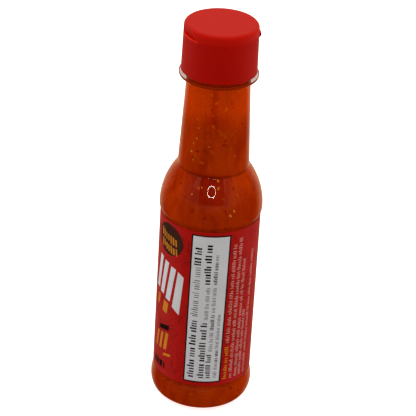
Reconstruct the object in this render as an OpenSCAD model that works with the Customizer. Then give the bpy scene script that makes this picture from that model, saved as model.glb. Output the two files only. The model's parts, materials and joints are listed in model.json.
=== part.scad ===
// Hot sauce bottle: clear blown bottle, red sauce, wrap label, one-piece flip-top cap.
// Millimetres, +Z up. The origin is on the bottle's axis, in the plane it stands on.
// -Y is the side that the label's facts panel faces; angles turn from -Y towards +X.

/* [Body] */

// Radius of the label panel's wall, measured to the outside of the plastic
panel_r = 20.22; // [16.5:0.01:24.5]
// Height of the shoulder's widest ring above the standing plane
shoulder_z = 89.3; // [78:0.1:110]
// How far the shoulder's widest ring stands out from the label panel
shoulder_out = 0.73; // [0.3:0.01:1.5]
// Radius of the shoulder's arc from its widest ring up towards the neck
shoulder_arc = 29.4; // [26:0.1:34]
// Radius of the rounded edge under the shoulder's widest ring
rim_arc = 3.5; // [2:0.1:6]
// How far the heel's widest ring stands out from the label panel
heel_out = 0.88; // [0.3:0.01:1.5]
// Radius of the heel's barrel arc
heel_arc = 11.1; // [8:0.1:16]
// Radius of the heel's corner, down to the standing ring
corner_arc = 5.9; // [4:0.1:7]
// Angle below the heel's widest ring at which the corner takes over from the barrel arc
corner_turn = 20; // [10:1:35]
// Wall thickness all over
wall = 0.8; // [0.5:0.05:1.2]

/* [Base] */

// Width of the flat ring that the bottle stands on
standing_w = 1.5; // [0.8:0.1:3]
// Rise of the push-up in the middle of the base
pushup_h = 2.2; // [1:0.1:4]

/* [Neck] */

// Outside radius of the neck under the support ring
neck_top_r = 12.6; // [10.5:0.05:13.4]
// Outside radius of the neck where its line reaches the crease height
neck_foot_r = 14.4; // [14:0.05:15.5]
// Height on the neck's line at which the foot radius is measured, over the shoulder ring
neck_foot_up = 19; // [17:0.1:21]
// Radius of the small cove between the neck and the shoulder
crease_arc = 1.5; // [0.8:0.1:3]
// Height of the neck from that crease height up to the support ring
neck_h = 38.3; // [28:0.1:48]
// Outside radius of the support ring
ring_r = 15.8; // [15.2:0.05:18]
// Thickness of the support ring at its edge
ring_t = 1; // [0.6:0.1:2]
// Height of the bevel under the support ring
ring_bevel = 0.4; // [0.2:0.1:1]

/* [Sauce] */

// Clearance between the sauce and the wall
sauce_gap = 0.05; // [0.02:0.01:0.2]
// Distance from the top of the finish down to the sauce
headspace = 0.4; // [0.2:0.1:6]

/* [Label] */

// Bare strip of the recessed panel below the label
label_low_gap = 1.4; // [0.5:0.1:6]
// Bare strip of the recessed panel above the label
label_top_gap = 0.85; // [0.5:0.05:6]
// Thickness of the label film
label_t = 0.15; // [0.08:0.01:0.3]
// Thickness of the glue line under the label
label_glue = 0.05; // [0.02:0.01:0.1]

/* [Cap] */

// Outside radius of the cap at its lower rim
cap_r = 15.1; // [14.6:0.05:17]
// Height of the cap
cap_h = 20.2; // [16.5:0.1:25]
// How much narrower the cap's side is at its top edge
cap_draft = 0.35; // [0:0.05:0.8]
// Radius of the cap's top edge
cap_edge = 1.5; // [0.6:0.1:2.5]
// Width of the bevel around the cap's lower rim
cap_bevel = 0.3; // [0.1:0.05:0.6]
// Clearance between the support ring and the cap's lower rim
cap_lift = 0.6; // [0.2:0.1:1.5]
// Clearance between the cap's bore and the finish, at its side and over its top
cap_clearance = 0.2; // [0.1:0.05:0.4]
// Thickness of the cap between the end of its bore and the parting line
crown_t = 1.7; // [1:0.1:3]
// Height of the lid above the parting line
lid_h = 4.5; // [4.2:0.1:5.2]
// Width and depth of the parting line's groove
parting_w = 0.15; // [0.1:0.05:0.3]
// Angle of the thumb scoop's middle
scoop_turn = -62; // [-180:1:180]
// Depth of the thumb scoop at its shelf
scoop_depth = 1.8; // [1.4:0.1:2.4]
// Radius of the thumb scoop across the cap, at its shelf
scoop_r = 90; // [40:5:140]
// Lean of the thumb scoop's wall from the vertical
scoop_lean = 14; // [8:1:24]
// Height of the scoop's shelf above the parting line
shelf_up = 0.35; // [0.3:0.05:0.6]
// Angle of the hinge strap's middle
hinge_turn = 118; // [-180:1:180]
// Angle that the hinge strap spans around the cap
hinge_span = 50; // [20:1:70]
// Radius of the hinge strap's round section
hinge_arc = 1.5; // [1:0.1:2]
// How far the hinge strap stands out from the cap's side
hinge_out = 0.9; // [0.4:0.1:1.2]

/* [Hidden] */

$fn = 96;
bottle_colour = [0.86, 0.88, 0.88, 0.35];
sauce_colour = [0.72, 0.16, 0.02];
label_colour = [0.7, 0.06, 0.04];
cap_colour = [0.78, 0.08, 0.05];
overshoot = 1; // cutters run this far past what they cut
chord_error = 0.004; // how far an arc's straight steps may lie inside it

heel_r = panel_r + heel_out;
heel_x = heel_r - heel_arc;
heel_z = corner_arc + (heel_arc - corner_arc) * sin(corner_turn);
corner_x = heel_x + (heel_arc - corner_arc) * cos(corner_turn);
pushup_r = corner_x - standing_w;
pushup_arc = (pow(pushup_r, 2) + pow(pushup_h, 2)) / (2 * pushup_h);

shoulder_r = panel_r + shoulder_out;
shoulder_x = shoulder_r - shoulder_arc;
rim_x = shoulder_r - rim_arc;

foot_z = shoulder_z + neck_foot_up;
ring_z = foot_z + neck_h;
ring_top = ring_z + ring_bevel + ring_t;
neck_lean = atan((neck_foot_r - neck_top_r) / neck_h);
line_down = [sin(neck_lean), -cos(neck_lean)];
line_out = [cos(neck_lean), sin(neck_lean)];

// The cove's centre lies one cove radius out from the neck's line, and touches the shoulder's arc.
cove_from = [neck_top_r, ring_z] + crease_arc * line_out - [shoulder_x, shoulder_z];
cove_b = cove_from * line_down;
cove_c = cove_from * cove_from - pow(shoulder_arc + crease_arc, 2);
cove_run = -cove_b - sqrt(pow(cove_b, 2) - cove_c);
cove = [shoulder_x, shoulder_z] + cove_from + cove_run * line_down;
dome_turn = atan2(cove[1] - shoulder_z, cove[0] - shoulder_x);

cap_z = ring_top + cap_lift;
cap_top = cap_z + cap_h;
parting_z = cap_top - lid_h;
cap_top_r = cap_r - cap_draft;
finish_top = parting_z - crown_t - cap_clearance;
cap_bore_r = neck_top_r + cap_clearance;
wide = 2 * cap_r;

// Points along an arc in the half profile, close enough together for the chord error.
// An arc that carries on from the last one leaves out its first point.
function arc_points(middle, r, from, to, carries_on = false) =
    let (steps = ceil(abs(to - from) / (2 * acos(1 - chord_error / r))))
    [for (i = [carries_on ? 1 : 0 : steps])
        let (turn = from + (to - from) * i / steps)
        middle + r * [cos(turn), sin(turn)]];

function reversed(points) = [for (i = [len(points) - 1 : -1 : 0]) points[i]];

// Angles, on arcs drawn this far inside the outer skin, at which they meet the panel and the base
function heel_turn(inset) = acos((panel_r - inset - heel_x) / (heel_arc - inset));
function rim_turn(inset) = acos((panel_r - inset - rim_x) / (rim_arc - inset));
function pushup_turn(inset) = asin((inset - pushup_h + pushup_arc) / (pushup_arc + inset));
function throat_r(inset) = neck_top_r - inset / cos(neck_lean);

// The bottle's half profile, drawn this far inside the outer skin: from the middle of the
// push-up out to the heel, up the panel, over the shoulder and up the neck to the support ring
function skin(inset) = concat(
    arc_points([0, pushup_h - pushup_arc], pushup_arc + inset, 90, pushup_turn(inset)),
    arc_points([corner_x, corner_arc], corner_arc - inset, -90, -corner_turn),
    arc_points([heel_x, heel_z], heel_arc - inset, -corner_turn, heel_turn(inset), true),
    arc_points([rim_x, shoulder_z], rim_arc - inset, -rim_turn(inset), 0),
    arc_points([shoulder_x, shoulder_z], shoulder_arc - inset, 0, dome_turn, true),
    arc_points(cove, crease_arc + inset, 180 + dome_turn, 180 + neck_lean, true),
    [[throat_r(inset), ring_z]]
);

module bottle() {
    color(bottle_colour)
    rotate_extrude()
    polygon(concat(
        skin(0),
        [
            [ring_r - ring_bevel, ring_z],
            [ring_r, ring_z + ring_bevel],
            [ring_r, ring_top],
            [neck_top_r, ring_top],
            [neck_top_r, finish_top],
            [throat_r(wall), finish_top]
        ],
        reversed(skin(wall))
    ));
}

module sauce() {
    inset = wall + sauce_gap;
    level = finish_top - headspace;
    color(sauce_colour)
    rotate_extrude()
    polygon(concat(skin(inset), [[throat_r(inset), level], [0, level]]));
}

module label() {
    panel_low = heel_z + heel_arc * sin(heel_turn(0));
    panel_high = shoulder_z - rim_arc * sin(rim_turn(0));
    label_h = panel_high - label_top_gap - (panel_low + label_low_gap);
    color(label_colour)
    rotate_extrude()
    translate([panel_r + label_glue, panel_low + label_low_gap]) square([label_t, label_h]);
}

// The cap's half profile, with its bore and the fine groove of the parting line
module cap_profile() {
    difference() {
        union() {
            polygon([
                [0, cap_z],
                [cap_r - cap_bevel, cap_z],
                [cap_r, cap_z + cap_bevel],
                [cap_top_r, cap_top - cap_edge],
                [0, cap_top - cap_edge]
            ]);
            translate([0, cap_top - cap_edge]) square([cap_top_r - cap_edge, cap_edge]);
            intersection() {
                translate([cap_top_r - cap_edge, cap_top - cap_edge]) circle(cap_edge);
                translate([cap_top_r - cap_edge, cap_top - cap_edge]) square(cap_edge);
            }
        }
        translate([0, cap_z - overshoot])
        square([cap_bore_r, finish_top + cap_clearance - cap_z + overshoot]);
        translate([cap_top_r - parting_w, parting_z - parting_w / 2])
        square([wide, parting_w]);
    }
}

// Leaning round cutter that leaves a thumb shelf just over the parting line
module thumb_scoop() {
    shelf = parting_z + shelf_up;
    rise = cap_top + overshoot - shelf;
    rotate([0, 0, scoop_turn])
    translate([0, -(cap_r - scoop_depth + scoop_r), shelf])
    cylinder(h = rise, r1 = scoop_r, r2 = scoop_r - rise * tan(scoop_lean));
}

// Half-round strap that hinges the lid, moulded across the parting line
module hinge_strap() {
    rotate([0, 0, hinge_turn - hinge_span / 2 - 90])
    rotate_extrude(angle = hinge_span)
    translate([cap_top_r + hinge_out - hinge_arc, parting_z]) circle(hinge_arc);
}

module cap() {
    color(cap_colour) {
        difference() {
            rotate_extrude() cap_profile();
            thumb_scoop();
        }
        hinge_strap();
    }
}

bottle();
sauce();
label();
cap();
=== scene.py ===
# A hot sauce bottle, section by section as it is put together, in metres in the CAD's frame: +Z is
# up, the axis is Z, and angles turn from -Y, the side that the label's facts face, towards +X.

import json
import math
import random

import bmesh
import bpy
from mathutils import Matrix, Vector

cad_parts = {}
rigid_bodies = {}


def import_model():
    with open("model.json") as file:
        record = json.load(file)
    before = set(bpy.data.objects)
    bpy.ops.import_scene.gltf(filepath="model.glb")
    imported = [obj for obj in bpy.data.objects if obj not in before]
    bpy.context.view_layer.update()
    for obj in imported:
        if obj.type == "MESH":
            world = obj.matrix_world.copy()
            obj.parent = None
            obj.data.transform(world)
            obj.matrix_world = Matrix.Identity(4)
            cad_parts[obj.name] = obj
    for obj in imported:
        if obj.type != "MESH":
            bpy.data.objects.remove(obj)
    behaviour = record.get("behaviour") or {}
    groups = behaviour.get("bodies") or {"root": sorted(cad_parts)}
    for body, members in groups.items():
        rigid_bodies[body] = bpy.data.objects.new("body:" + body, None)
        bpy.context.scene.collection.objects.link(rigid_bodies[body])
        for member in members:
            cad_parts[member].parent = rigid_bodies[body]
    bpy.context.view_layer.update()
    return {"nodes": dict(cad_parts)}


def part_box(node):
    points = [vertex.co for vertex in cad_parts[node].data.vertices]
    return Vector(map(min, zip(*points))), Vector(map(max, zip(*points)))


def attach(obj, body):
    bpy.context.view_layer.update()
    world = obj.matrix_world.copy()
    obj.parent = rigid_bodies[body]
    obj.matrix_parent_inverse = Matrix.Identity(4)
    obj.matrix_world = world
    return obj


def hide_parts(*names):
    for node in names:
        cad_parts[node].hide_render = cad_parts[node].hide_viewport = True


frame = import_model()


# ---- Studio -------------------------------------------------------------------------------
# A pale floor under a white tent. A soft box hangs over the object, two smaller, warmer ones
# stand left and right of the camera, and a ring lamp sits round the lens before a dark flag.

CAMERA_AT = Vector((0, -0.727487, 0.485061))
CAMERA_RIGHT = Vector((0.998127, 0.030528, 0.053014))
CAMERA_FORWARD = Vector((-0.0013, 0.876981, -0.480523))
CAMERA_LENS = 176.7  # mm, on a sensor 36 mm wide
LOOK_AT = Vector((0, -0.026, 0.103))  # on the shoulder, straight in front of the lens
FLOOR_RADIUS = 6.0
ROUND_STEPS = 96
RING_RADIUS = 0.135
RING_WIDTH = 0.022
RING_STRENGTH = 13.0
FLAG_HALF = (0.5, 0.36)
FLAG_BEHIND = 0.08  # of the way from the object to the lens, behind the lens
BOXES_LOOK_AT = Vector((0, 0, 0.09))
TOP_POWER = 2.4
SIDE_POWER = 0.15
HORIZON_FADE = 0.15  # Z of a direction, up and down from level, where the tent's low part ends


def linear(hex_colour):
    """The scene-linear RGBA of an sRGB colour such as "#b01208"."""
    channels = [int(hex_colour[i : i + 2], 16) / 255 for i in (1, 3, 5)]
    return (*(c / 12.92 if c <= 0.04045 else ((c + 0.055) / 1.055) ** 2.4 for c in channels), 1.0)


def add(tree, kind, inputs=None, **settings):
    """Adds a node with its settings. Inputs go by identifier, name or number: a socket is linked
    and anything else is set."""
    made = tree.nodes.new(kind)
    for name, value in settings.items():
        setattr(made, name, value)
    for key, value in (inputs or {}).items():
        named = [s for s in made.inputs if key in (s.identifier, s.name)]
        socket = made.inputs[key] if isinstance(key, int) else named[0]
        if isinstance(value, bpy.types.NodeSocket):
            tree.links.new(value, socket)
        else:
            socket.default_value = value
    return made


def calc(tree, operation, *values):
    """A math node on one or more values."""
    return add(tree, "ShaderNodeMath", dict(enumerate(values)), operation=operation)


def scaled(tree, vector, share):
    """A colour or another vector, times one number."""
    return add(tree, "ShaderNodeVectorMath", {0: vector, "Scale": share}, operation="SCALE")


def ranged(tree, value, start, end, least=0.0, most=1.0, smooth=False):
    """A number that runs from least to most as the value runs from start to end."""
    return add(
        tree,
        "ShaderNodeMapRange",
        {"Value": value, "From Min": start, "From Max": end, "To Min": least, "To Max": most},
        interpolation_type="SMOOTHSTEP" if smooth else "LINEAR",
    )


def mixed(tree, share, first, second):
    """A colour that runs from the first to the second. It comes out of output 2."""
    return add(
        tree,
        "ShaderNodeMix",
        {"Factor_Float": share, "A_Color": first, "B_Color": second},
        data_type="RGBA",
    )


def material(name, **finish):
    """A new material with one Principled shader: itself, its tree, the shader and the output."""
    made = bpy.data.materials.new(name)
    made.use_nodes = True
    made.node_tree.nodes.clear()
    shader = add(made.node_tree, "ShaderNodeBsdfPrincipled", finish)
    output = add(made.node_tree, "ShaderNodeOutputMaterial", {"Surface": shader.outputs[0]})
    return made, made.node_tree, shader, output


def glow(name, colour, strength):
    """A lamp's own surface."""
    made = bpy.data.materials.new(name)
    made.use_nodes = True
    made.node_tree.nodes.clear()
    lamp = add(
        made.node_tree, "ShaderNodeEmission", {"Color": linear(colour), "Strength": strength}
    )
    add(made.node_tree, "ShaderNodeOutputMaterial", {"Surface": lamp.outputs[0]})
    return made


def meshed(name, bm):
    """A new mesh from a bmesh, which is then let go."""
    made = bpy.data.meshes.new(name)
    bm.to_mesh(made)
    bm.free()
    return made


def new_object(name, mesh, *materials):
    made = bpy.data.objects.new(name, mesh)
    for each in materials:
        made.data.materials.append(each)
    bpy.context.scene.collection.objects.link(made)
    return made


def facing(place, target):
    """The matrix of something at place whose -Z points at target, as a lamp's does."""
    turn = (target - place).to_track_quat("-Z", "Y").to_matrix().to_4x4()
    return Matrix.Translation(place) @ turn


up = CAMERA_RIGHT.cross(CAMERA_FORWARD).normalized()
lens = bpy.data.cameras.new("camera")
lens.sensor_width = 36
lens.lens = CAMERA_LENS
camera = bpy.data.objects.new("camera", lens)
camera.matrix_world = Matrix.Translation(CAMERA_AT) @ Matrix(
    (CAMERA_RIGHT.normalized(), up, -CAMERA_FORWARD.normalized())
).transposed().to_4x4()
bpy.context.scene.collection.objects.link(camera)
bpy.context.scene.camera = camera
bpy.context.scene.view_settings.view_transform = "Standard"

# Opal acrylic, lit softly from below: it glows enough to keep the shadow on it light, and a
# faint mottle keeps it from being one flat white.
opal, tree, shader, _ = material(
    "matt_opal_acrylic",
    **{
        "Roughness": 0.9,
        "Specular IOR Level": 0.0,
        "Emission Color": linear("#ffffff"),
        "Emission Strength": 0.7,
    },
)
where = add(tree, "ShaderNodeTexCoord")
mottle = add(
    tree,
    "ShaderNodeTexNoise",
    {"Vector": where.outputs["Object"], "Scale": 9.0, "Detail": 3.0},  # clouds of 11 cm
)
tone = add(tree, "ShaderNodeValToRGB", {"Fac": mottle.outputs[0]})
tone.color_ramp.elements[0].color = linear("#f6f6f6")
tone.color_ramp.elements[1].color = linear("#fbfbfa")
tree.links.new(tone.outputs[0], shader.inputs["Base Color"])

bm = bmesh.new()
bmesh.ops.create_circle(bm, cap_ends=True, segments=ROUND_STEPS, radius=FLOOR_RADIUS)
floor = new_object("floor", meshed("floor", bm), opal)
floor.visible_glossy = False
floor.visible_diffuse = False

bm = bmesh.new()
inner, outer = [
    [
        bm.verts.new((r * math.cos(a), r * math.sin(a), 0))
        for a in (2 * math.pi * i / ROUND_STEPS for i in range(ROUND_STEPS))
    ]
    for r in (RING_RADIUS - RING_WIDTH / 2, RING_RADIUS + RING_WIDTH / 2)
]
for i in range(ROUND_STEPS):
    j = (i + 1) % ROUND_STEPS
    bm.faces.new((inner[i], inner[j], outer[j], outer[i]))
opal_ring = glow("ring_lamp_glow", "#fffaf2", RING_STRENGTH)
ring_lamp = new_object("ring_lamp", meshed("ring_lamp", bm), opal_ring)
ring_lamp.matrix_world = facing(CAMERA_AT, LOOK_AT)

bm = bmesh.new()
bmesh.ops.create_grid(bm, x_segments=1, y_segments=1, size=1)
bmesh.ops.scale(bm, vec=(*FLAG_HALF, 1), verts=bm.verts)
# Black felt, which keeps the gloss round the ring lamp dark.
felt, *_ = material("black_felt", **{"Base Color": linear("#0a0a0a"), "Roughness": 1.0})
flag = new_object("flag", meshed("flag", bm), felt)
flag.matrix_world = facing(CAMERA_AT + (CAMERA_AT - LOOK_AT) * FLAG_BEHIND, LOOK_AT)
for each in (ring_lamp, flag):
    each.visible_camera = False
    each.visible_transmission = False
    each.visible_shadow = False
flag.visible_diffuse = False

for name, place, size, power, colour in (
    ("top_box", (0.0, 0.15, 1.1), (0.9, 0.9), TOP_POWER, "#ffffff"),
    ("left_box", (-0.56, -0.62, 0.74), (0.3, 0.42), SIDE_POWER, "#ffc890"),
    ("right_box", (0.42, -0.7, 0.74), (0.3, 0.42), SIDE_POWER, "#ffc890"),
):
    box = bpy.data.lights.new(name, "AREA")
    box.color = linear(colour)[:3]
    box.shape = "RECTANGLE"
    box.size, box.size_y = size
    box.energy = power
    lamp = bpy.data.objects.new(name, box)
    lamp.matrix_world = facing(Vector(place), BOXES_LOOK_AT)
    bpy.context.scene.collection.objects.link(lamp)

# The tent is white to look at, bright behind and above, and dim towards the camera, so that the
# front of the object keeps its depth of colour. What mirrors in the gloss is dimmer still.
world = bpy.data.worlds.new("white_tent")
world.use_nodes = True
bpy.context.scene.world = world
tree = world.node_tree
tree.nodes.clear()
where = add(tree, "ShaderNodeTexCoord")
axes = add(tree, "ShaderNodeSeparateXYZ", {0: where.outputs["Generated"]})


def around(tree, axes, ahead, beyond, under, over):
    """A light that runs from one (Y, strength) ahead of the object to another beyond it, times a
    share under the horizon and another over it."""
    along = ranged(tree, axes.outputs["Y"], ahead[0], beyond[0], ahead[1], beyond[1], smooth=True)
    share = ranged(tree, axes.outputs["Z"], -HORIZON_FADE, HORIZON_FADE, under, over, smooth=True)
    return calc(tree, "MULTIPLY", along.outputs[0], share.outputs[0])


shining = around(tree, axes, (-0.7, 0.32), (0.35, 1.18), 1.15, 1.0)
mirrored = around(tree, axes, (0.36, 0.0), (0.95, 0.75), 1.0, 0.8)
rays = add(tree, "ShaderNodeLightPath")
strength = add(
    tree,
    "ShaderNodeMix",
    {
        "Factor_Float": rays.outputs["Is Glossy Ray"],
        "A_Float": shining.outputs[0],
        "B_Float": mirrored.outputs[0],
    },
)
seen = add(
    tree,
    "ShaderNodeMix",
    {"Factor_Float": rays.outputs["Is Camera Ray"], "A_Float": strength.outputs[0], "B_Float": 1.0},
)
# In the gloss the tent's cloth shows cream, as its warm lamps light it.
cloth = mixed(tree, rays.outputs["Is Glossy Ray"], linear("#ffffff"), linear("#ffdcae"))
sky = add(tree, "ShaderNodeBackground", {"Color": cloth.outputs[2], "Strength": seen.outputs[0]})
# The room in front, over the camera, is warm and dim, and shows only in the gloss too.
over_camera = around(tree, axes, (-0.9, 0.3), (0.1, 0.0), 0.0, 1.0)
warm_share = calc(tree, "MULTIPLY", over_camera.outputs[0], rays.outputs["Is Glossy Ray"])
room = add(
    tree, "ShaderNodeBackground", {"Color": linear("#ffb890"), "Strength": warm_share.outputs[0]}
)
both = add(tree, "ShaderNodeAddShader", {0: sky.outputs[0], 1: room.outputs[0]})
add(tree, "ShaderNodeOutputWorld", {"Surface": both.outputs[0]})


# ---- Bottle -------------------------------------------------------------------------------
# A clear PET bottle, blown in a mould from a tube whose neck was moulded first, so the neck
# and its support ring are crisp, and the body's wall is gently uneven.

TURN_STEPS = 256
CREASE_ANGLE = math.radians(24)  # edges sharper than this stay crisp
RING_DEPTH = 0.0024  # m from the cap's lower rim down to the support ring's underside
RING_FADE = 0.0005  # m over which the ring's tint comes in


def profile_of(node):
    """The half profile of a turned CAD node: its points in the XZ plane, in order from the axis."""
    bm = bmesh.new()
    bm.from_mesh(frame["nodes"][node].data)
    bmesh.ops.remove_doubles(bm, verts=bm.verts, dist=1e-6)
    seam = {v for v in bm.verts if abs(v.co.y) < 1e-7 and v.co.x > -1e-7}
    on_axis = sorted((v for v in seam if v.co.x < 1e-7), key=lambda v: v.co.z)
    walk = [on_axis[0]]
    while True:
        onward = [
            v
            for v in (e.other_vert(walk[-1]) for e in walk[-1].link_edges)
            if v in seam and v not in walk
        ]
        if not onward:
            break
        walk.append(min(onward, key=lambda v: (v.co - walk[-1].co).length))
    points = [v.co.copy() for v in walk]
    bm.free()
    return points


def turning_tree():
    """Turns a profile of N points about Z, with smooth sides and crisp edges."""
    tree = bpy.data.node_groups.new("turned_shape", "GeometryNodeTree")
    for name, kind in (
        ("Profile", "NodeSocketGeometry"),
        ("Steps", "NodeSocketInt"),
        ("Points", "NodeSocketInt"),
        ("Crease Angle", "NodeSocketFloat"),
        ("Swell", "NodeSocketFloat"),
        ("Material", "NodeSocketMaterial"),
    ):
        tree.interface.new_socket(name, in_out="INPUT", socket_type=kind)
    tree.interface.new_socket("Mesh", in_out="OUTPUT", socket_type="NodeSocketGeometry")
    given = add(tree, "NodeGroupInput").outputs
    # One more column than there are steps: the last lies on the first and is merged with it.
    columns = calc(tree, "ADD", given["Steps"], 1.0)
    grid = add(
        tree,
        "GeometryNodeMeshGrid",
        {"Vertices X": given["Points"], "Vertices Y": columns.outputs[0]},
    )
    count = add(tree, "GeometryNodeInputIndex")
    row = calc(tree, "FLOOR", calc(tree, "DIVIDE", count.outputs[0], columns.outputs[0]).outputs[0])
    column = calc(tree, "FLOORED_MODULO", count.outputs[0], columns.outputs[0])
    place = add(tree, "GeometryNodeInputPosition")
    sampled = add(
        tree,
        "GeometryNodeSampleIndex",
        {"Geometry": given["Profile"], "Value": place.outputs[0], "Index": row.outputs[0]},
        data_type="FLOAT_VECTOR",
    )
    parts = add(tree, "ShaderNodeSeparateXYZ", {0: sampled.outputs[0]})
    turn = calc(
        tree,
        "MULTIPLY",
        calc(tree, "DIVIDE", column.outputs[0], given["Steps"]).outputs[0],
        2 * math.pi,
    )
    cosine = calc(tree, "COSINE", turn.outputs[0])
    sine = calc(tree, "SINE", turn.outputs[0])
    x = calc(tree, "MULTIPLY", parts.outputs["X"], cosine.outputs[0])
    y = calc(tree, "MULTIPLY", parts.outputs["X"], sine.outputs[0])
    round_place = add(
        tree,
        "ShaderNodeCombineXYZ",
        {"X": x.outputs[0], "Y": y.outputs[0], "Z": parts.outputs["Z"]},
    )
    turned = add(
        tree,
        "GeometryNodeSetPosition",
        {"Geometry": grid.outputs["Mesh"], "Position": round_place.outputs[0]},
    )
    closed = add(
        tree,
        "GeometryNodeMergeByDistance",
        {"Geometry": turned.outputs[0], "Distance": 1e-6},
    )
    # A profile that runs up its outside leaves the grid's faces pointing in, so they are flipped.
    flipped = add(tree, "GeometryNodeFlipFaces", {0: closed.outputs[0]})
    normal = add(tree, "GeometryNodeInputNormal")
    pushed = scaled(tree, normal.outputs[0], given["Swell"])
    swollen = add(
        tree,
        "GeometryNodeSetPosition",
        {"Geometry": flipped.outputs[0], "Offset": pushed.outputs[0]},
    )
    angle = add(tree, "GeometryNodeInputMeshEdgeAngle")
    gentle = add(
        tree,
        "FunctionNodeCompare",
        {0: angle.outputs["Unsigned Angle"], 1: given["Crease Angle"]},
        operation="LESS_THAN",
        data_type="FLOAT",
    )
    smooth = add(tree, "GeometryNodeSetShadeSmooth", {"Geometry": swollen.outputs[0]})
    crisp = add(
        tree,
        "GeometryNodeSetShadeSmooth",
        {"Geometry": smooth.outputs[0], "Shade Smooth": gentle.outputs[0]},
        domain="EDGE",
    )
    real = add(tree, "GeometryNodeRealizeInstances", {0: crisp.outputs[0]})
    dressed = add(
        tree,
        "GeometryNodeSetMaterial",
        {"Geometry": real.outputs[0], "Material": given["Material"]},
    )
    add(tree, "NodeGroupOutput", {0: dressed.outputs[0]})
    return tree


def grown(name, base, tree, made_of, **values):
    """Runs a node tree on a mesh and returns the plain piece that it makes."""
    source = new_object("source", base)
    modifier = source.modifiers.new("tree", "NODES")
    modifier.node_group = tree
    for item in tree.interface.items_tree:
        if item.in_out == "INPUT" and item.name in values:
            modifier[item.identifier] = values[item.name]
        if item.in_out == "INPUT" and item.name == "Material":
            modifier[item.identifier] = made_of
    bpy.context.view_layer.update()
    shape = bpy.data.meshes.new_from_object(
        source.evaluated_get(bpy.context.evaluated_depsgraph_get())
    )
    bpy.data.objects.remove(source)
    shape.name = name
    if not shape.materials:
        shape.materials.append(made_of)
    return new_object(name, shape)


def line_mesh(points):
    made = bpy.data.meshes.new("profile")
    made.from_pydata(points, [(i, i + 1) for i in range(len(points) - 1)], [])
    return made


def outwards(piece):
    """Turns the faces of a closed piece outwards."""
    bm = bmesh.new()
    bm.from_mesh(piece.data)
    bmesh.ops.recalc_face_normals(bm, faces=bm.faces)
    bm.to_mesh(piece.data)
    bm.free()


# Blow-moulded PET: water-clear and glossy, with the slow waves that a blown wall sets into.
# Lamps shine straight through the thin wall on to the sauce.
pet, tree, shader, output = material(
    "blow_moulded_PET",
    **{"Transmission Weight": 1.0, "Roughness": 0.03, "IOR": 1.57},
)
where = add(tree, "ShaderNodeTexCoord")
# The thick support ring shows the plastic's own grey more than the thin wall does.
spot = add(tree, "ShaderNodeSeparateXYZ", {0: where.outputs["Object"]})
in_ring = ranged(
    tree,
    spot.outputs["Z"],
    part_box("cap")[0].z - RING_DEPTH,
    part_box("cap")[0].z - RING_DEPTH + RING_FADE,
)
depth = mixed(tree, in_ring.outputs[0], linear("#eff1f0"), linear("#9c948c"))
tree.links.new(depth.outputs[2], shader.inputs["Base Color"])
waves = add(
    tree,
    "ShaderNodeTexNoise",
    {"Vector": where.outputs["Object"], "Scale": 140.0, "Detail": 0.0},  # waves of 7 mm
)
ripple = add(
    tree,
    "ShaderNodeBump",
    {"Height": waves.outputs[0], "Distance": 0.00003, "Strength": 0.5},
)
tree.links.new(ripple.outputs[0], shader.inputs["Normal"])
rays = add(tree, "ShaderNodeLightPath")
open_ray = calc(tree, "MAXIMUM", rays.outputs["Is Shadow Ray"], rays.outputs["Is Diffuse Ray"])
passing = add(tree, "ShaderNodeBsdfTransparent", {"Color": linear("#f6f8f8")})
wall = add(
    tree,
    "ShaderNodeMixShader",
    {0: open_ray.outputs[0], 1: shader.outputs[0], 2: passing.outputs[0]},
)
tree.links.new(wall.outputs[0], output.inputs["Surface"])

turning = turning_tree()
skin = profile_of("bottle")
bottle = grown(
    "clear_bottle",
    line_mesh(skin),
    turning,
    pet,
    **{"Steps": TURN_STEPS, "Points": len(skin), "Crease Angle": CREASE_ANGLE},
)
outwards(bottle)
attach(bottle, "root")
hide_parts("bottle")


# ---- Sauce --------------------------------------------------------------------------------
# A thick chilli sauce, blended from peppers, with fine pulp in it. It fills the bottle to just
# under the mouth and wets the wall, so its skin lies a hair inside the plastic.

WETTED = 0.00012  # m that the sauce swells, past the CAD's clearance and just into the wall
SAUCE_STEPS = 192
# Between these heights the sauce gets thinner, and the light that comes through it is painted in as
# a brighter orange.
THIN_FROM, THIN_TO = 0.126, 0.137  # m up, between which the sauce gets thinner and brighter
# A stain, and the painted shade on the shoulder, leave this share of the pulp's colour.
STAIN_AND_SHADE = (0.72, 0.3, 0.5, 1.0)  # the share of the pulp's red, green and blue that a stain leaves
EDGE_WANDER = 0.004  # m that the lower edge of a stain strays up and down
CREASE_Z = 0.1077  # m up, where the neck meets the shoulder
CREASE_HALF, CREASE_FADE = 0.0002, 0.0009  # m from the crease to where its shade fades and ends
CREASE_SHADE = 0.66  # of the sauce's own lightness

# Blended chilli pulp: cloudy orange-red, with streaks of darker pulp that hang in it, a fine grain,
# and a thinner layer at the top of the neck, painted brighter for the light that comes through it.
pulp, tree, shader, _ = material(
    "blended_chilli_pulp", **{"Roughness": 0.6, "Specular IOR Level": 0.0}
)
where = add(tree, "ShaderNodeTexCoord")
spot = add(tree, "ShaderNodeSeparateXYZ", {0: where.outputs["Object"]})
hanging = add(tree, "ShaderNodeMapping", {"Vector": where.outputs["Object"], "Scale": (1, 1, 0.4)})
clouds = add(
    tree,
    "ShaderNodeTexNoise",
    {"Vector": hanging.outputs[0], "Scale": 150.0, "Detail": 4.0, "Roughness": 0.55,
     "Distortion": 0.4},  # clouds of 7 mm, taller than wide
)
grain = add(
    tree,
    "ShaderNodeTexNoise",
    {"Vector": where.outputs["Object"], "Scale": 1100.0, "Detail": 3.0, "Roughness": 0.6},  # 1 mm
)
deep = ranged(tree, clouds.outputs[0], 0.36, 0.64)
body = mixed(tree, deep.outputs[0], linear("#b82b02"), linear("#d33d03"))
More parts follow.
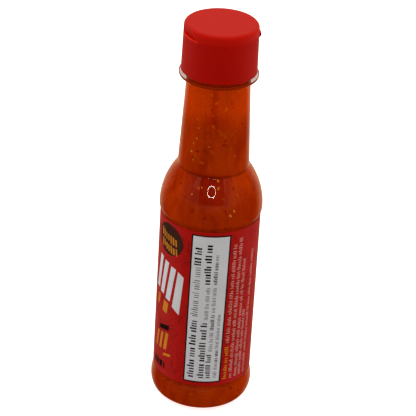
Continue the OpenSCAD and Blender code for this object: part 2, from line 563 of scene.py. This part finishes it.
# Painted light: the thinner sauce at the top of the neck is painted a brighter orange, for the
# light that comes through it.
thin = ranged(tree, spot.outputs["Z"], THIN_FROM, THIN_TO, smooth=True)
topped = mixed(tree, thin.outputs[0], body.outputs[2], linear("#ee4403"))
thread_place = add(
    tree, "ShaderNodeMapping", {"Vector": where.outputs["Object"], "Scale": (1, 1, 0.22)}
)
threads = add(
    tree,
    "ShaderNodeTexNoise",
    {"Vector": thread_place.outputs[0], "Scale": 480.0, "Detail": 2.0, "Distortion": 0.3},  # 2 mm
)
thread_share = ranged(tree, threads.outputs[0], 0.3, 0.42, 0.9, 1.0)
grain_share = ranged(tree, grain.outputs[0], 0.3, 0.7, 0.88, 1.08)
grained = scaled(tree, topped.outputs[2], grain_share.outputs[0])
threaded = scaled(tree, grained.outputs[0], thread_share.outputs[0])

# Where skins have gathered against the wall the pulp is a deeper, cleaner red. The broad patch on
# the shoulder is painted shade, where the flag keeps the front light off the sauce.
stained_and_shaded = threaded
for az, half_width, low, high, fade, strength in (
    # painted shade, not a stain: the flag keeps the front light off the sauce here
    (-2.0, 0.0075, 0.0975, 0.1085, 0.003, 0.85),  # a broad patch on the shoulder
    (-4.0, 0.0012, 0.1300, 0.1450, 0.002, 0.55),  # a thread down the neck
    (3.0, 0.0050, 0.1285, 0.1345, 0.003, 0.35),  # a faint patch beside it
):
    side = math.radians(az)
    across = add(
        tree,
        "ShaderNodeVectorMath",
        {0: where.outputs["Object"], 1: (math.cos(side), math.sin(side), 0.0)},
        operation="DOT_PRODUCT",
    )
    ahead = add(
        tree,
        "ShaderNodeVectorMath",
        {0: where.outputs["Object"], 1: (math.sin(side), -math.cos(side), 0.0)},
        operation="DOT_PRODUCT",
    )
    off_side = calc(tree, "ABSOLUTE", across.outputs["Value"])
    wander = calc(tree, "MULTIPLY_ADD", clouds.outputs[0], EDGE_WANDER, -EDGE_WANDER / 2)
    shares = [
        ranged(tree, value, start, start + fade, smooth=True).outputs[0]
        for value, start in (
            (calc(tree, "SUBTRACT", half_width + fade / 2, off_side.outputs[0]).outputs[0], 0.0),
            (calc(tree, "ADD", spot.outputs["Z"], wander.outputs[0]).outputs[0], low - fade / 2),
            (calc(tree, "SUBTRACT", high + fade / 2, spot.outputs["Z"]).outputs[0], 0.0),
            (ahead.outputs["Value"], 0.0),
        )
    ]
    share = strength
    for each in shares:
        share = calc(tree, "MULTIPLY", share, each).outputs[0]
    stain_and_shade = mixed(tree, share, (1.0, 1.0, 1.0, 1.0), STAIN_AND_SHADE)
    stained_and_shaded = add(
        tree,
        "ShaderNodeVectorMath",
        {0: stained_and_shaded.outputs[0], 1: stain_and_shade.outputs[2]},
        operation="MULTIPLY",
    )
# Painted shade: a thin darker line in the sauce along the crease under the neck, where the wall is
# thickest.
off_crease = calc(tree, "ABSOLUTE", calc(tree, "SUBTRACT", spot.outputs["Z"], CREASE_Z).outputs[0])
painted_crease_shade = ranged(
    tree, off_crease.outputs[0], CREASE_HALF, CREASE_FADE, CREASE_SHADE, 1.0, smooth=True
)
shaded = scaled(tree, stained_and_shaded.outputs[0], painted_crease_shade.outputs[0])
tree.links.new(shaded.outputs[0], shader.inputs["Base Color"])

fill = profile_of("sauce")
sauce = grown(
    "chilli_sauce",
    line_mesh(fill),
    turning,
    pulp,
    **{"Steps": SAUCE_STEPS, "Points": len(fill), "Crease Angle": CREASE_ANGLE, "Swell": WETTED},
)
outwards(sauce)
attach(sauce, "root")
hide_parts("sauce")


# ---- Pulp, seeds and specks ---------------------------------------------------------------
# What the blender left whole: pale seed chips, orange bits of flesh, red skins and a few dark
# specks. Those that show are pressed flat against the wall, half in the sauce.

BIT_PRESSED = 0.00004  # m that a bit's middle lies outside the sauce's own skin
PLACED_THICK, LOOSE_THICK = 0.0003, 0.00028  # m through a bit that is pressed flat
RAGGEDNESS = 0.3  # of a bit's radius, that its outline wavers
HEEL_SHARE = 0.18  # of the loose bits, that lie under the label
HEEL_SPAN, UPPER_SPAN = (0.004, 0.0125), (0.0875, 0.146)  # m up, where loose bits lie
THIN_GLOW = 1.6  # how much brighter a bit is where the sauce is thin
NEAR_AXIS = 0.005  # m, within which the sauce's profile is the middle of the push-up


def stamping_tree():
    """Sets a stamp on each point, at the point's own size and turn, and wraps the lot round a
    radius where one is given."""
    tree = bpy.data.node_groups.new("stamped_bits", "GeometryNodeTree")
    for name, kind in (
        ("Points", "NodeSocketGeometry"),
        ("Stamps", "NodeSocketCollection"),
        ("Seed", "NodeSocketInt"),
        ("Wrap Radius", "NodeSocketFloat"),
        ("Material", "NodeSocketMaterial"),
    ):
        tree.interface.new_socket(name, in_out="INPUT", socket_type=kind)
    tree.interface.new_socket("Mesh", in_out="OUTPUT", socket_type="NodeSocketGeometry")
    given = add(tree, "NodeGroupInput").outputs
    stamps = add(
        tree,
        "GeometryNodeCollectionInfo",
        {"Collection": given["Stamps"], "Separate Children": True, "Reset Children": True},
    )
    pick = add(
        tree,
        "FunctionNodeRandomValue",
        {"Min_002": 0, "Max_002": 99, "Seed": given["Seed"]},
        data_type="INT",
    )
    size, turn = (
        add(tree, "GeometryNodeInputNamedAttribute", {"Name": name}, data_type="FLOAT_VECTOR")
        for name in ("size", "turn")
    )
    spun = add(tree, "FunctionNodeEulerToRotation", {0: turn.outputs[0]})
    set_out = add(
        tree,
        "GeometryNodeInstanceOnPoints",
        {
            "Points": given["Points"],
            "Instance": stamps.outputs[0],
            "Pick Instance": True,
            "Instance Index": pick.outputs[2],
            "Rotation": spun.outputs[0],
            "Scale": size.outputs[0],
        },
    )
    real = add(tree, "GeometryNodeRealizeInstances", {0: set_out.outputs[0]})
    parts = add(
        tree, "ShaderNodeSeparateXYZ", {0: add(tree, "GeometryNodeInputPosition").outputs[0]}
    )
    angle = calc(tree, "DIVIDE", parts.outputs["X"], given["Wrap Radius"])
    radius = calc(tree, "ADD", parts.outputs["Y"], given["Wrap Radius"])
    inward = calc(tree, "MULTIPLY", radius.outputs[0], -1.0)
    x, y = (
        calc(tree, "MULTIPLY", by.outputs[0], calc(tree, of, angle.outputs[0]).outputs[0])
        for by, of in ((radius, "SINE"), (inward, "COSINE"))
    )
    bent = add(
        tree,
        "ShaderNodeCombineXYZ",
        {"X": x.outputs[0], "Y": y.outputs[0], "Z": parts.outputs["Z"]},
    )
    wanted = add(
        tree,
        "FunctionNodeCompare",
        {0: given["Wrap Radius"], 1: 0.0},
        operation="GREATER_THAN",
        data_type="FLOAT",
    )
    wrapped = add(
        tree,
        "GeometryNodeSetPosition",
        {"Geometry": real.outputs[0], "Selection": wanted.outputs[0], "Position": bent.outputs[0]},
    )
    dressed = add(
        tree,
        "GeometryNodeSetMaterial",
        {"Geometry": wrapped.outputs[0], "Material": given["Material"]},
    )
    add(tree, "NodeGroupOutput", {0: dressed.outputs[0]})
    return tree


def point_mesh(rows):
    """Loose points, each with a size and a turn, from (place, size, turn) rows."""
    made = bpy.data.meshes.new("points")
    made.from_pydata([row[0] for row in rows], [], [])
    for name, column in (("size", 1), ("turn", 2)):
        values = made.attributes.new(name, "FLOAT_VECTOR", "POINT")
        values.data.foreach_set("vector", [c for row in rows for c in row[column]])
    return made


def crumbs(seed, raggedness):
    """A collection of three uneven flat bits, each about one unit across, to be stamped."""
    rng = random.Random(seed)
    kept = bpy.data.collections.new("crumbs")
    for _ in range(3):
        # Waves round the bit, each with its count, its height and its phase.
        waves = [(n, rng.uniform(0.4, 1) / n, rng.uniform(0, 6.28)) for n in (2, 3, 4, 5, 7)]
        bm = bmesh.new()
        bmesh.ops.create_icosphere(bm, subdivisions=3, radius=0.5)
        for v in bm.verts:
            round_y = math.atan2(v.co.z, v.co.x)
            v.co *= 1 + raggedness * sum(h * math.sin(n * round_y + p) for n, h, p in waves)
        for f in bm.faces:
            f.smooth = True
        kept.objects.link(bpy.data.objects.new("crumb", meshed("crumb", bm)))
    return kept


def discard(stamps):
    for each in list(stamps.objects):
        bpy.data.objects.remove(each)
    bpy.data.collections.remove(stamps)


def skin_at(z):
    """The sauce's radius and the lean of its skin at a height, from its own profile."""
    for low, high in zip(fill[1:], fill[2:]):
        if low.z <= z <= high.z and high.x > NEAR_AXIS and high.z > low.z:
            share = (z - low.z) / (high.z - low.z)
            return low.x + (high.x - low.x) * share, math.atan2(low.x - high.x, high.z - low.z)
    return fill[-2].x, 0.0


def bit(az, z, size, turn):
    """A row for a bit at an angle in degrees from -Y towards +X, pressed on the sauce's skin."""
    radius, lean = skin_at(z)
    out = radius + WETTED + BIT_PRESSED
    angle = math.radians(az)
    # Its thin side is Y: turned about that first, then leant with the skin, then sent round.
    spin = (
        Matrix.Rotation(angle, 3, "Z")
        @ Matrix.Rotation(-lean, 3, "X")
        @ Matrix.Rotation(turn, 3, "Y")
    )
    return (out * math.sin(angle), -out * math.cos(angle), z), size, tuple(spin.to_euler())


stamping = stamping_tree()
kinds = (
    # name, base hex, second hex, count, smallest and largest mm, long to wide, placed ones
    ("pale_seed_chips", "#e89030", "#d06a18", 9, 0.3, 0.6, 1.35,
     ((-32, 123.5, 1.1), (-38, 121.0, 0.8), (-41, 117.3, 1.3), (-36, 114.0, 1.1), (-9, 121.0, 0.6),
      (-25.5, 101.0, 0.9), (-14, 104.0, 0.8), (9, 106.6, 1.3), (9, 104.1, 1.2), (28, 95.3, 1.2),
      (23.5, 93.5, 1.3), (37, 116.3, 0.7), (-30, 128.0, 0.7))),
    ("orange_flesh_bits", "#d24803", "#c23e02", 120, 0.6, 2.4, 1.6,
     ((-12, 125.5, 1.2), (-5, 112.0, 1.0), (30, 126.0, 1.4))),
    ("red_skin_flakes", "#b82a02", "#a82402", 60, 0.8, 2.2, 1.6,
     ((-3, 141.5, 1.6), (-6, 144.0, 1.2), (-2, 134.0, 2.2), (28, 139.5, 1.7), (-22, 95.0, 2.0),
      (-10, 95.8, 1.6), (-6, 92.9, 2.2), (18, 95.0, 1.8), (31, 103.5, 1.6))),
    ("dark_specks", "#7a1c06", "#561405", 22, 0.2, 0.4, 1.2,
     ((-8.5, 136.6, 0.7), (-33, 99.3, 0.7), (-16, 119.0, 0.8), (53, 129.5, 0.7), (-12, 118.0, 0.5),
      (-68, 103.0, 0.8), (16, 96.0, 0.5))),
)
for number, (name, light, dark, count, least, most, long, placed) in enumerate(kinds):
    # Wet vegetable tissue: soft, uneven colour from bit to bit and inside each one.
    flesh, tree, shader, _ = material(
        "wet_chilli_" + name, **{"Roughness": 0.5, "Specular IOR Level": 0.0}
    )
    where = add(tree, "ShaderNodeTexCoord")
    speckle = add(
        tree,
        "ShaderNodeTexNoise",
        {"Vector": where.outputs["Object"], "Scale": 900.0, "Detail": 2.0},  # spots of 1 mm
    )
    tone = add(tree, "ShaderNodeValToRGB", {"Fac": speckle.outputs[0]})
    tone.color_ramp.elements[0].position = 0.35
    tone.color_ramp.elements[0].color = linear(dark)
    tone.color_ramp.elements[1].position = 0.65
    tone.color_ramp.elements[1].color = linear(light)
    # In the thinner sauce at the top of the neck the light comes through the bits.
    spot = add(tree, "ShaderNodeSeparateXYZ", {0: where.outputs["Object"]})
    lit = ranged(tree, spot.outputs["Z"], THIN_FROM, THIN_TO, 1.0, THIN_GLOW)
    brighter = scaled(tree, tone.outputs[0], lit.outputs[0])
    tree.links.new(brighter.outputs[0], shader.inputs["Base Color"])

    rng = random.Random(40 + number)
    rows = []
    for az, z, across in placed:
        across /= 1000
        rows.append(
            bit(az, z / 1000, (across / long, PLACED_THICK, across), rng.uniform(-0.4, 0.4))
        )
    for _ in range(count):
        across = rng.uniform(least, most) / 1000
        rows.append(
            bit(
                rng.uniform(-180, 180),
                rng.uniform(*(HEEL_SPAN if rng.random() < HEEL_SHARE else UPPER_SPAN)),
                (across / long, LOOSE_THICK, across),
                rng.uniform(-1.2, 1.2),
            )
        )
    stamps = crumbs(number, RAGGEDNESS)
    bits = grown(
        name, point_mesh(rows), stamping, flesh,
        **{"Stamps": stamps, "Seed": number, "Wrap Radius": 0.0},
    )
    discard(stamps)
    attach(bits, "root")


# ---- Label --------------------------------------------------------------------------------
# A wrap-round label of printed film with a satin varnish, glued into the recess of the panel. Its
# print is laid in thin layers of ink: worn strokes on the red, dark, white, then orange and black.

LABEL_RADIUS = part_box("label")[1].x
LABEL_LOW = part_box("label")[0].z
LABEL_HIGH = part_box("label")[1].z
FILM_THICK = 0.00006  # m of film over film where the label's ends overlap
INK = (0.000008, 0.000014, 0.00002, 0.000026)  # m that the print stands up after each pass
INK_SUNK = 0.00001  # m that each layer of ink reaches into the one below
DEGREE = math.radians(1) * LABEL_RADIUS  # m of label for one degree round the bottle
BEND_STEP = 2.5 * DEGREE
OVERLAP = (150, 180)  # degrees, the glued seam at the back


def printed_film(name, colour, darker, roughness):
    """Printed, varnished film: an even colour with the faint grain of the ink's dots in it, and a
    soft sheen that the handling has made a little uneven."""
    made, tree, shader, _ = material(name, **{"IOR": 1.5, "Specular IOR Level": 0.1})
    where = add(tree, "ShaderNodeTexCoord")
    dots = add(
        tree,
        "ShaderNodeTexNoise",
        {"Vector": where.outputs["Object"], "Scale": 1600.0, "Detail": 2.0},  # 0.6 mm, coarsened
    )
    cloud = add(
        tree,
        "ShaderNodeTexNoise",
        {"Vector": where.outputs["Object"], "Scale": 130.0, "Detail": 3.0},  # clouds of 8 mm
    )
    both = calc(tree, "ADD", dots.outputs[0], cloud.outputs[0])
    share = ranged(tree, both.outputs[0], 0.7, 1.3)
    tone = mixed(tree, share.outputs[0], linear(darker), linear(colour))
    rub = ranged(tree, cloud.outputs[0], 0.3, 0.7, roughness - 0.05, roughness + 0.06)
    tree.links.new(tone.outputs[2], shader.inputs["Base Color"])
    tree.links.new(rub.outputs[0], shader.inputs["Roughness"])
    return made


def slab(bm, outline, thick):
    """Adds a thin plate to the flat layout: its outline in degrees and mm, its thickness in m."""
    low = [bm.verts.new((az * DEGREE, -INK_SUNK, z / 1000)) for az, z in outline]
    high = [bm.verts.new((v.co.x, thick, v.co.z)) for v in low]
    bm.faces.new(low)
    bm.faces.new(high)
    for i in range(len(low)):
        j = (i + 1) % len(low)
        bm.faces.new((low[i], low[j], high[j], high[i]))


def wrapped(name, bm, ink):
    """Bends a flat layout of plates round the label, and makes it one printed piece."""
    bmesh.ops.recalc_face_normals(bm, faces=bm.faces)
    # A plate that lies flat bends evenly only when it is cut into narrow strips.
    ends = [v.co.x for v in bm.verts]
    cut = math.floor(min(ends) / BEND_STEP) * BEND_STEP
    while cut < max(ends):
        bmesh.ops.bisect_plane(
            bm,
            geom=bm.verts[:] + bm.edges[:] + bm.faces[:],
            plane_co=(cut, 0, 0),
            plane_no=(1, 0, 0),
            dist=1e-8,
        )
        cut += BEND_STEP
    for v in bm.verts:
        angle = v.co.x / LABEL_RADIUS
        out = LABEL_RADIUS + v.co.y
        v.co = (out * math.sin(angle), -out * math.cos(angle), v.co.z)
    bmesh.ops.recalc_face_normals(bm, faces=bm.faces)
    piece = new_object(name, meshed(name, bm), ink)
    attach(piece, "root")
    return piece


def oval(az, z, wide, tall, tilt=0.0, steps=48):
    """An ellipse's outline: its middle in degrees and mm, its half sizes in mm."""
    out = []
    for i in range(steps):
        a = 2 * math.pi * i / steps
        u, w = wide * math.cos(a), tall * math.sin(a)
        u, w = u * math.cos(tilt) - w * math.sin(tilt), u * math.sin(tilt) + w * math.cos(tilt)
        out.append((az + u / 1000 / DEGREE, z + w))
    return out


film = printed_film("printed_red_film", "#ca0c01", "#b60901", 0.45)
label = frame["nodes"]["label"]
label.data.materials[0] = film

bm = bmesh.new()
seam_low, seam_high = LABEL_LOW * 1000, LABEL_HIGH * 1000
slab(
    bm,
    ((OVERLAP[0], seam_low), (OVERLAP[1], seam_low), (OVERLAP[1], seam_high),
     (OVERLAP[0], seam_high)),
    FILM_THICK,
)
wrapped("label_overlap", bm, film)


def bar(name, across, along):
    """A bar one unit long each way, cut across and along so that it can bend."""
    bm = bmesh.new()
    bmesh.ops.create_grid(bm, x_segments=across, y_segments=along, size=0.5)
    bmesh.ops.rotate(bm, matrix=Matrix.Rotation(math.pi / 2, 3, "X"), verts=bm.verts)
    raised = bmesh.ops.extrude_face_region(bm, geom=bm.faces[:])
    for v in raised["geom"]:
        if isinstance(v, bmesh.types.BMVert):
            v.co.y += 1
    bmesh.ops.recalc_face_normals(bm, faces=bm.faces)
    # Put in a fixed order, because extruding leaves the sides in another order each time.
    bm.verts.sort(key=lambda v: v.co.dot((100, 10, 1)))
    bm.faces.sort(key=lambda f: f.calc_center_median().dot((100, 10, 1)))
    kept = bpy.data.collections.new(name)
    kept.objects.link(bpy.data.objects.new(name, meshed(name, bm)))
    return kept


def stamped(name, rows, ink, thick, stamps):
    """One printed piece of small bars: rows of degrees, mm, two sizes in mm, and a turn."""
    points = [
        (
            (az * DEGREE, -INK_SUNK, z / 1000),
            (wide / 1000, thick + INK_SUNK, tall / 1000),
            (0.0, turn, 0.0),
        )
        for az, z, wide, tall, turn in rows
    ]
    piece = grown(
        name, point_mesh(points), stamping, ink,
        **{"Stamps": stamps, "Seed": 0, "Wrap Radius": LABEL_RADIUS},
    )
    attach(piece, "root")
    return piece


# Worn strokes on the red: short brushed scratches, mostly on the slant.
STROKES, STROKE_SPAN = 900, (15.5, 84.0)  # how many, and mm up
rng = random.Random(11)
strokes = []
while len(strokes) < STROKES:
    az, z = rng.uniform(-179, 179), rng.uniform(*STROKE_SPAN)
    long = rng.uniform(1.2, 4.2)
    lean = rng.gauss(0.5, 0.5) * rng.choice((1, 1, -1))
    strokes.append((az, z, rng.uniform(0.16, 0.42), long, lean))
long_bar = bar("long_bar", 1, 5)
dark_red = printed_film("printed_dark_red", "#9c0b04", "#860903", 0.4)
stamped("worn_strokes", strokes, dark_red, INK[0], long_bar)
discard(long_bar)

# Dark ink: the round badge, the facts panel's border, and bars.
# The corners of the facts panel, in degrees and mm, from the low left one round to the right.
FACTS = ((-19.7, 15.4), (22.7, 15.4), (25.3, 84.6), (-18.5, 84.6))
BORDER = 0.62  # mm of dark line round the facts panel
LEAN = 0.0116  # mm that the panel and its rows lean to the right for each mm up


def let_out(corners, mm):
    """An outline of four corners, let out by some mm, or taken in where that is less than 0."""
    ways = ((-1, -1), (1, -1), (1, 1), (-1, 1))
    side = mm / 1000 / DEGREE
    return [(az + right * side, z + up * mm) for (az, z), (right, up) in zip(corners, ways)]


bm = bmesh.new()
slab(bm, oval(-50.5, 78.2, 7.6, 6.9, -0.25), INK[1])
wrapped("round_badge", bm, printed_film("printed_dark_brown", "#50291c", "#412016", 0.42))
bm = bmesh.new()
slab(bm, let_out(FACTS, BORDER / 2), INK[1])
slab(bm, ((-62, 34.4), (-44, 35.8), (-43.6, 38.2), (-61, 36.6)), INK[1])
for az, wide in ((-72, 6), (-65, 5), (-58.5, 5.5), (-50.5, 2.2)):
    slab(bm, ((az, 16.6), (az + wide, 16.4), (az + wide, 19.4), (az, 19.6)), INK[1])
wrapped("dark_print", bm, printed_film("printed_black", "#2a1410", "#1e0e0b", 0.42))

# White ink: the facts panel's ground, and a row of plain slanting bars.
bm = bmesh.new()
slab(bm, let_out(FACTS, -BORDER / 2), INK[2])
for outline in (
    ((-74.0, 53.0), (-67.5, 52.6), (-60.5, 68.6), (-67.0, 69.0)),
    ((-63.5, 51.8), (-56.5, 51.4), (-49.0, 67.4), (-56.0, 67.8)),
    ((-52.5, 50.4), (-45.0, 49.8), (-37.5, 66.0), (-45.0, 66.6)),
    ((-41.0, 48.0), (-30.5, 45.4), (-26.6, 63.6), (-34.5, 65.4)),
):
    slab(bm, outline, INK[2])
white_ink = printed_film("printed_white", "#eae9ea", "#e0dfe1", 0.42)
wrapped("white_print", bm, white_ink)


LETTER_HEIGHTS = (0.7, 0.7, 0.74, 1.0, 0.95)  # of a row's height, as in print, mostly low


def row_of_bars(rng, az, z_from, z_to, tall, stem, gap, lean=LEAN):
    """A row that stands for small print: plain bars of uneven height on one line, in groups."""
    out, z, left = [], z_from, rng.randint(3, 8)
    while z + stem < z_to:
        high = tall * rng.choice(LETTER_HEIGHTS)
        thick = stem * rng.uniform(0.8, 1.25)
        base = az * DEGREE * 1000 + lean * (z - FACTS[0][1])
        out.append(((base - high / 2) / 1000 / DEGREE, z + thick / 2, high, thick, 0.0))
        z += thick + gap * rng.uniform(0.8, 1.3)
        left -= 1
        if left == 0:
            z += tall * 0.35
            left = rng.randint(3, 9)
    return out


# Black ink: rows on the facts panel. A row is its angle, its height across, and its parts, each
# with where it starts and ends, and the width of its bars and of the gaps between them.
letter_bar = bar("letter_bar", 4, 1)
rng = random.Random(5)
black_rows = []
for az, tall, parts in (
    (-8.6, 2.9, ((17.4, 45.7, 0.66, 0.52), (47.0, 70.0, 0.3, 0.62), (71.0, 79.5, 0.66, 0.5))),
    (3.2, 2.8, ((17.4, 44.3, 0.62, 0.5), (62.4, 80.8, 0.74, 0.52))),
    (3.6, 1.7, ((45.7, 61.3, 0.22, 0.42),)),
    (10.6, 2.1, ((17.4, 29.6, 0.52, 0.42),)),
    (11.2, 1.7, ((30.3, 39.4, 0.22, 0.42), (40.8, 48.3, 0.42, 0.34), (49.2, 61.3, 0.22, 0.42),
                 (62.4, 73.3, 0.44, 0.36), (73.7, 76.4, 0.22, 0.4))),
    (18.4, 1.6, ((17.4, 24.3, 0.22, 0.42), (25.0, 31.0, 0.42, 0.34), (31.8, 48.0, 0.22, 0.42))),
):
    for z_from, z_to, stem, gap in parts:
        black_rows += row_of_bars(rng, az, z_from, z_to, tall, stem, gap)
stamped(
    "black_rows", black_rows, printed_film("printed_brown_black", "#1c0e0c", "#140a08", 0.42),
    INK[3], letter_bar,
)

# Pale ink: rows of small print straight on the red, beside the panel.
SIDE_TALL, SIDE_LEAN = 1.75, 0.019
side_rows = []
for az, z_from, z_to in (
    (31.2, 33.6, 80.0), (38.8, 15.8, 83.0), (46.2, 15.8, 72.4), (52.6, 15.8, 47.5),
    (60.6, 15.8, 75.0),
):
    side_rows += row_of_bars(rng, az, z_from, z_to, SIDE_TALL, 0.3, 0.46, SIDE_LEAN)
pale_pink = printed_film("printed_pale_pink", "#e4a498", "#d8988c", 0.42)
stamped("pale_rows", side_rows, pale_pink, INK[1], letter_bar)

# Orange ink: a side row's start, marks on the badge, and the plain bars under the white ones.
MARKS, MARK_STEP, MARK_DROP = 7, 4.1, 0.35  # in a row, degrees apart, and mm lower each time
orange_ink = printed_film("printed_orange", "#ea8c08", "#d87c06", 0.42)
orange_rows = row_of_bars(rng, 31.2, 16.0, 32.0, SIDE_TALL, 0.44, 0.44, SIDE_LEAN)
for row, z in enumerate((80.0, 75.6)):
    for i in range(MARKS):
        orange_rows.append(
            (-64.0 + MARK_STEP * i + 1.2 * row, z - MARK_DROP * i + rng.uniform(-0.3, 0.3),
             0.8 * rng.uniform(0.8, 1.2), 3.3 * rng.uniform(0.85, 1.1), -0.12)
        )
stamped("orange_rows", orange_rows, orange_ink, INK[3], letter_bar)
bm = bmesh.new()
for outline in (
    ((-70.5, 45.4), (-66.0, 45.2), (-64.0, 50.0), (-68.5, 50.2)),
    ((-57.5, 43.8), (-49.0, 43.2), (-46.8, 48.4), (-55.3, 49.0)),
    ((-69.5, 25.0), (-65.5, 25.0), (-62.0, 33.0), (-66.0, 33.0)),
    ((-61.0, 25.2), (-56.5, 25.2), (-53.0, 33.4), (-57.5, 33.4)),
    ((-52.5, 25.8), (-47.5, 25.8), (-44.0, 34.2), (-49.0, 34.2)),
    ((-52.0, 22.6), (-40.0, 23.6), (-39.8, 24.8), (-51.8, 23.8)),
):
    slab(bm, outline, INK[2])
wrapped("orange_print", bm, orange_ink)
discard(letter_bar)


# ---- Cap ----------------------------------------------------------------------------------
# A one-piece flip-top cap, injection-moulded in red polypropylene and screwed down on the neck.
# It is shut: its lid has a thumb scoop on one side and hangs on a strap on the other.

CAP_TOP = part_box("cap")[1].z
PARTING_Z = CAP_TOP - 0.0045
GROOVE_HALF = 0.000078
SCOOP_AZ = math.radians(-62)
SCOOP_WALL_RADIUS = 0.0146  # m from the axis, just inside the lid's side
CAP_SIDE = 0.01488  # m from the axis, just outside the side at the parting line
# Over this distance the strap's painted pink, for light through its thin plastic, comes in.
STRAP_FADE = 0.00045  # m further out, where the strap's own tone is full
STRAP_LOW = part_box("cap")[0].z + 0.012
# Painted sheen: between these heights the lid's top is painted paler.
SHEEN_FROM, SHEEN_TO = CAP_TOP - 0.0006, CAP_TOP - 0.00002  # where the top's texture comes in
EDGE_FROM, EDGE_TO = PARTING_Z - 0.0015, CAP_TOP - 0.0012  # where the plastic gets thin and lit

# Moulded polypropylene: a deep even red with a soft sheen and a faint orange-peel skin, with
# painted light on it: a paler top, a brighter rim and scoop, and a pinker tone on the thin hinge
# strap, where light comes through it.
polypropylene, tree, shader, _ = material(
    "moulded_red_polypropylene", **{"IOR": 1.49, "Specular IOR Level": 0.05}
)
where = add(tree, "ShaderNodeTexCoord")
flow = add(
    tree,
    "ShaderNodeTexNoise",
    {"Vector": where.outputs["Object"], "Scale": 120.0, "Detail": 3.0, "Roughness": 0.5},  # 8 mm
)
tone = mixed(tree, flow.outputs[0], linear("#b80b00"), linear("#c40d00"))
spot = add(tree, "ShaderNodeSeparateXYZ", {0: where.outputs["Object"]})
# The lid's top is spark-textured; the little more light that it scatters is painted in as a paler
# red, a painted sheen.
painted_top_sheen = ranged(tree, spot.outputs["Z"], SHEEN_FROM, SHEEN_TO, smooth=True)
# Painted light: the lid's rounded edge is thin and lets some light through, and so does the wall of
# its scoop, so both are painted a brighter red; the outer rim of the scoop's lip faces up and is
# painted as a highlight; and light that scatters inside fills the parting groove, which is painted
# pale so that it reads as a faint line.
level = add(
    tree, "ShaderNodeCombineXYZ", {"X": spot.outputs["X"], "Y": spot.outputs["Y"], "Z": 0.0}
)
out_from_axis = add(tree, "ShaderNodeVectorMath", {0: level.outputs[0]}, operation="LENGTH")
to_scoop = add(
    tree,
    "ShaderNodeVectorMath",
    {0: where.outputs["Object"], 1: (math.sin(SCOOP_AZ), -math.cos(SCOOP_AZ), 0.0)},
    operation="DOT_PRODUCT",
)
lit_edge = ranged(tree, spot.outputs["Z"], EDGE_FROM, EDGE_TO, smooth=True)
painted_light_tone = mixed(tree, lit_edge.outputs[0], tone.outputs[2], linear("#d41200"))
painted_light_tone = mixed(tree, painted_top_sheen.outputs[0], painted_light_tone.outputs[2], linear("#c01c12"))
# Painted light on the scoop: its wall, a highlight on the outer rim of its lip, and the parting
# groove.
for from_z, to_z, to_the_side, from_r, to_r, paler in (
    (PARTING_Z + 0.00035, CAP_TOP - 0.0009, -1.0, 0.0, SCOOP_WALL_RADIUS, "#d01404"),  # wall
    (PARTING_Z + 0.00012, PARTING_Z + 0.0004, 0.0132, 0.0142, 1.0, "#f8321e"),  # lip
    (PARTING_Z - GROOVE_HALF, PARTING_Z + GROOVE_HALF, -1.0, 0.0, 1.0, "#e01c08"),  # groove
):
    share = 1.0
    for value, limit, test in (
        (spot.outputs["Z"], from_z, "GREATER_THAN"),
        (spot.outputs["Z"], to_z, "LESS_THAN"),
        (to_scoop.outputs["Value"], to_the_side, "GREATER_THAN"),
        (out_from_axis.outputs["Value"], from_r, "GREATER_THAN"),
        (out_from_axis.outputs["Value"], to_r, "LESS_THAN"),
    ):
        inside = calc(tree, test, value, limit)
        share = calc(tree, "MULTIPLY", share, inside.outputs[0]).outputs[0]
    painted_light_tone = mixed(tree, share, painted_light_tone.outputs[2], linear(paler))
# Painted light: the thin hinge strap is painted pink, for the light that comes through its thin
# plastic.
strap = ranged(tree, out_from_axis.outputs["Value"], CAP_SIDE, CAP_SIDE + STRAP_FADE)
above = calc(tree, "GREATER_THAN", spot.outputs["Z"], STRAP_LOW)
painted_strap_light = calc(tree, "MULTIPLY", strap.outputs[0], above.outputs[0])
hinged = mixed(tree, painted_strap_light.outputs[0], painted_light_tone.outputs[2], linear("#ee0a70"))
tree.links.new(hinged.outputs[2], shader.inputs["Base Color"])
rub = ranged(tree, flow.outputs[0], 0.3, 0.7, 0.4, 0.5)
tree.links.new(rub.outputs[0], shader.inputs["Roughness"])
peel = add(
    tree,
    "ShaderNodeTexNoise",
    {"Vector": where.outputs["Object"], "Scale": 900.0, "Detail": 1.0},  # 1 mm orange peel
)
bumped = add(
    tree, "ShaderNodeBump", {"Height": peel.outputs[0], "Distance": 0.00002, "Strength": 0.4}
)
tree.links.new(bumped.outputs[0], shader.inputs["Normal"])
cap = frame["nodes"]["cap"]
cap.data.materials[0] = polypropylene
